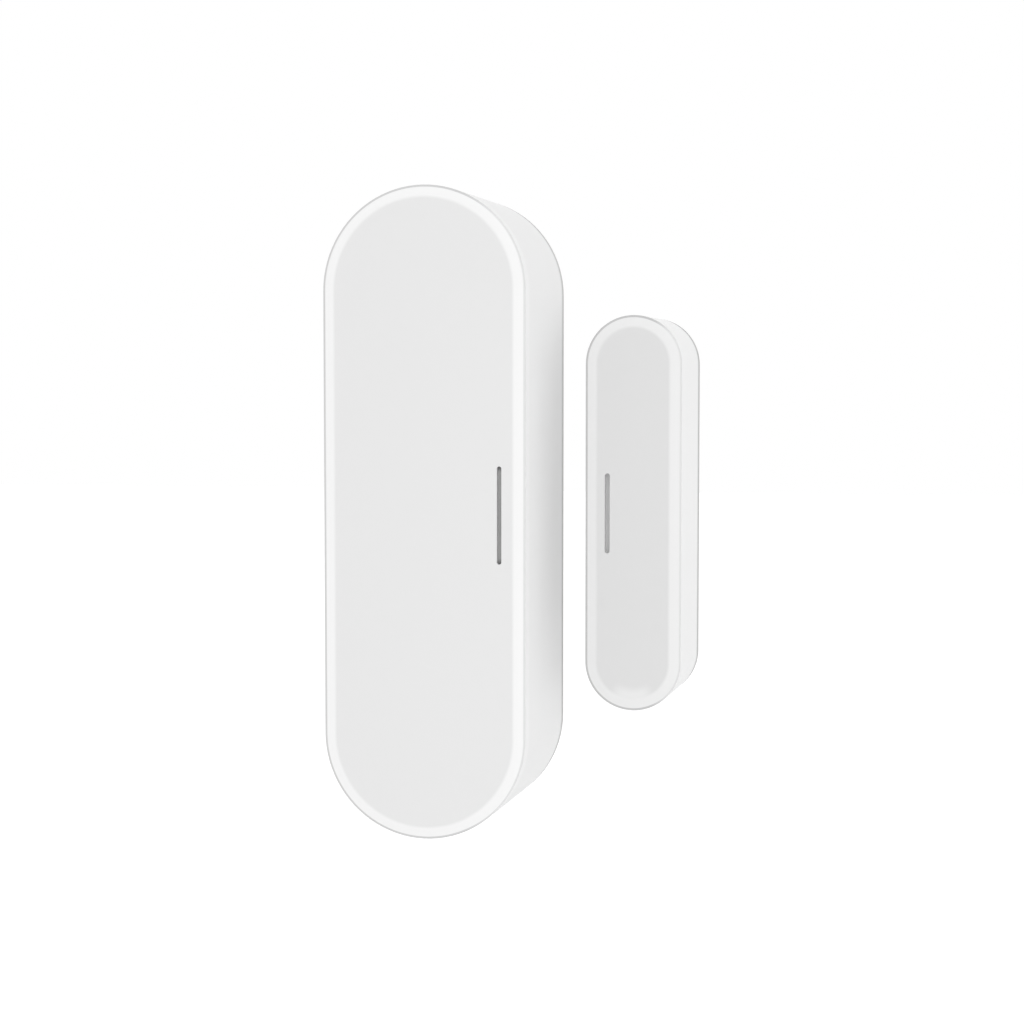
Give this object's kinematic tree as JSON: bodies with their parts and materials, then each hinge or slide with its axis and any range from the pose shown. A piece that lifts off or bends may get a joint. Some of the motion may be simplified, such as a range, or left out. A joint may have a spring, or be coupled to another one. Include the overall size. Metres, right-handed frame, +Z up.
{
  "type": "door contact sensor",
  "caption": "Wireless door contact sensor: capsule-shaped battery unit with a light slot, reed switch and pairing button, and a smaller capsule-shaped magnet unit beside it.",
  "frame": {"origin": "centre of the sensor unit's adhesive pad, on the wall plane that both units stick to", "axes": "+Z up along the units' long axes, -Y to the front, away from the wall, +X from the sensor unit to the magnet unit"},
  "size_m": [0.0422, 0.0228, 0.078],
  "materials": {
    "white_cover": "satin",
    "white_housing": "satin",
    "white_plate": "matte",
    "smoke_window": "gloss",
    "foam_tape": "matte",
    "holder_plastic": "matte",
    "cell_label": "gloss",
    "cell_metal": "polished",
    "contact_metal": "satin",
    "board_green": "satin",
    "module_black": "satin",
    "shield_metal": "satin",
    "chip_black": "matte",
    "passive_tan": "matte",
    "led_lens": "gloss",
    "screw_steel": "satin",
    "switch_black": "matte",
    "button_grey": "satin",
    "reed_glass": "gloss",
    "reed_metal": "satin",
    "magnet_nickel": "polished"
  },
  "bodies": {
    "wall_plate": {"sensor_back_plate": "white_plate", "sensor_adhesive_pad": "foam_tape"},
    "sensor_unit": {"sensor_front_cover": "white_cover", "sensor_light_pipe": "smoke_window", "sensor_housing": "white_housing", "battery_holder": "holder_plastic", "cell_jackets": "cell_label", "cell_positive_caps": "cell_metal", "cell_negative_ends": "cell_metal", "negative_contact_springs": "contact_metal", "positive_contact_plate": "contact_metal", "negative_contact_plate": "contact_metal", "link_contact_plate": "contact_metal", "circuit_board": "board_green", "board_screws": "screw_steel", "radio_module_board": "module_black", "radio_shield_can": "shield_metal", "indicator_led": "led_lens", "small_chips": "chip_black", "chip_passives": "passive_tan", "tact_switch_base": "switch_black", "reed_glass": "reed_glass", "reed_fixed_blade": "reed_metal", "reed_upper_lead": "reed_metal"},
    "magnet_unit": {"magnet_front_cover": "white_cover", "magnet_housing": "white_housing", "magnet_back_plate": "white_plate", "magnet_adhesive_pad": "foam_tape", "bar_magnet": "magnet_nickel"},
    "pairing_button": {"pairing_button": "button_grey", "tact_switch_plunger": "button_grey"},
    "reed_blade": {"reed_moving_blade": "reed_metal"}
  },
  "joints": [
    {"name": "battery_release", "type": "slide", "parent": "wall_plate", "child": "sensor_unit", "axis": [0, -1, 0], "range_m": [0, 0.025]},
    {"name": "magnet_travel", "type": "slide", "parent": "wall_plate", "child": "magnet_unit", "axis": [1, 0, 0], "range_m": [0, 0.06]},
    {"name": "pairing_press", "type": "slide", "parent": "sensor_unit", "child": "pairing_button", "axis": [0, -1, 0], "range_m": [0, 0.00025], "stiffness_N_per_m": 800, "springref_m": -0.00125},
    {"name": "reed_flex", "type": "hinge", "parent": "sensor_unit", "child": "reed_blade", "pos_m": [0.0059, -0.0196, 0.0047], "axis": [-1, 0, 0], "range_deg": [0, 1]}
  ],
  "couplings": [
    {"joint": "reed_flex", "follows": "magnet_travel", "rad_per_m": 0.29}
  ]
}
